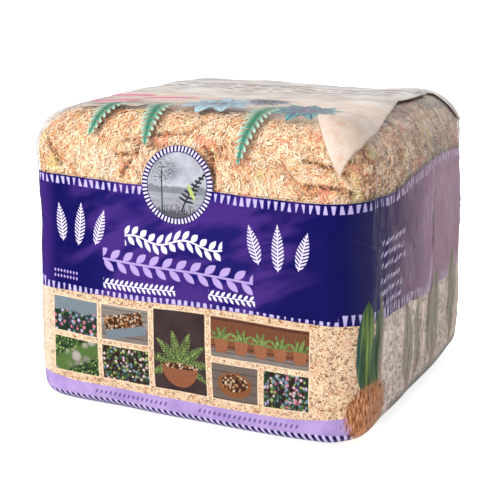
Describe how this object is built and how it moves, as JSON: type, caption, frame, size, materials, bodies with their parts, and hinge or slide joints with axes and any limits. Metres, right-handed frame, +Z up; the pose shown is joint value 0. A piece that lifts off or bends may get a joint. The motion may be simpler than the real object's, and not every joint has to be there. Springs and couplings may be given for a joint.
{
  "type": "bagged bale of dried sphagnum moss",
  "caption": "Compressed block of dried sphagnum moss in a sealed, side-gusseted film bag, standing flat on its base.",
  "frame": {"origin": "middle of the base, on the surface that the bag stands on", "axes": "+Z up, the printed front faces -Y, the right side faces +X"},
  "size_m": [0.174, 0.163, 0.15],
  "materials": {
    "dried_moss": "matt, fibrous, straw and tan with brown and pale green strands",
    "printed_film": "glossy printed polyethylene film with soft wrinkles",
    "clear_film": "glossy clear polyethylene film over the moss",
    "top_film": "glossy film, printed hazy white",
    "sealed_film": "heat-sealed film, fine ribs"
  },
  "bodies": {
    "root": {"moss_bale": "dried_moss", "bag_body": "printed_film", "gusset_fold_left": "clear_film", "gusset_fold_right": "clear_film", "top_back_panel": "top_film", "top_front_panel": "top_film", "top_seal": "sealed_film", "back_seam": "sealed_film", "bottom_seal": "sealed_film"}
  },
  "joints": []
}
